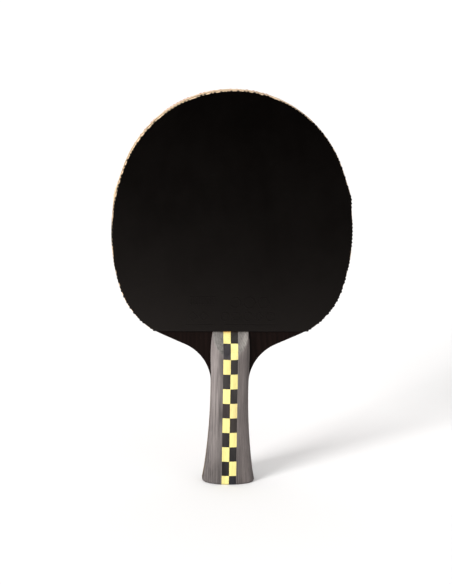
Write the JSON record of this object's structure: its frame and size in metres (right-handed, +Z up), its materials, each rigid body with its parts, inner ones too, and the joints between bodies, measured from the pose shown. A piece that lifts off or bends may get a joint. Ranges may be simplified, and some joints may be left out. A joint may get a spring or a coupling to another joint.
{
  "type": "table tennis paddle",
  "caption": "Table tennis paddle with a laminated wooden blade, a sponge and rubber on each side, and a flared handle with a chequered strip of wooden blocks.",
  "frame": {"origin": "centre of the flat butt end of the handle, the lowest face of the paddle standing upright", "axes": "+Z up along the handle to the crown of the blade, +X across the blade to the right as seen from the front, +Y through the thickness to the back"},
  "size_m": [0.1536, 0.024, 0.257],
  "materials": {
    "core_wood": "pale light wood, sanded",
    "ply_wood": "pale hardwood veneer, sanded",
    "black_veneer": "dyed black veneer with a thin satin sealer",
    "sponge": "matte cream sponge rubber",
    "black_rubber": "smooth black rubber with a low sheen",
    "red_rubber": "smooth red rubber with a low sheen",
    "grey_wood": "dyed grey wood with straight grain, satin",
    "yellow_wood": "dyed yellow wood, satin",
    "charcoal_wood": "dyed charcoal wood, satin"
  },
  "bodies": {
    "root": {"blade_core": "core_wood", "front_inner_ply": "ply_wood", "front_face_ply": "black_veneer", "front_sponge": "sponge", "front_topsheet": "black_rubber", "back_inner_ply": "ply_wood", "back_face_ply": "black_veneer", "back_sponge": "sponge", "back_topsheet": "red_rubber", "front_left_handle_scale": "grey_wood", "front_right_handle_scale": "grey_wood", "back_left_handle_scale": "grey_wood", "back_right_handle_scale": "grey_wood", "front_left_block_01": "yellow_wood", "front_left_block_02": "charcoal_wood", "front_left_block_03": "yellow_wood", "front_left_block_04": "charcoal_wood", "front_left_block_05": "yellow_wood", "front_left_block_06": "charcoal_wood", "front_left_block_07": "yellow_wood", "front_left_block_08": "charcoal_wood", "front_left_block_09": "yellow_wood", "front_left_block_10": "charcoal_wood", "front_left_block_11": "yellow_wood", "front_right_block_01": "charcoal_wood", "front_right_block_02": "yellow_wood", "front_right_block_03": "charcoal_wood", "front_right_block_04": "yellow_wood", "front_right_block_05": "charcoal_wood", "front_right_block_06": "yellow_wood", "front_right_block_07": "charcoal_wood", "front_right_block_08": "yellow_wood", "front_right_block_09": "charcoal_wood", "front_right_block_10": "yellow_wood", "front_right_block_11": "charcoal_wood", "back_left_block_01": "yellow_wood", "back_left_block_02": "charcoal_wood", "back_left_block_03": "yellow_wood", "back_left_block_04": "charcoal_wood", "back_left_block_05": "yellow_wood", "back_left_block_06": "charcoal_wood", "back_left_block_07": "yellow_wood", "back_left_block_08": "charcoal_wood", "back_left_block_09": "yellow_wood", "back_left_block_10": "charcoal_wood", "back_left_block_11": "yellow_wood", "back_right_block_01": "charcoal_wood", "back_right_block_02": "yellow_wood", "back_right_block_03": "charcoal_wood", "back_right_block_04": "yellow_wood", "back_right_block_05": "charcoal_wood", "back_right_block_06": "yellow_wood", "back_right_block_07": "charcoal_wood", "back_right_block_08": "yellow_wood", "back_right_block_09": "charcoal_wood", "back_right_block_10": "yellow_wood", "back_right_block_11": "charcoal_wood"}
  },
  "joints": []
}
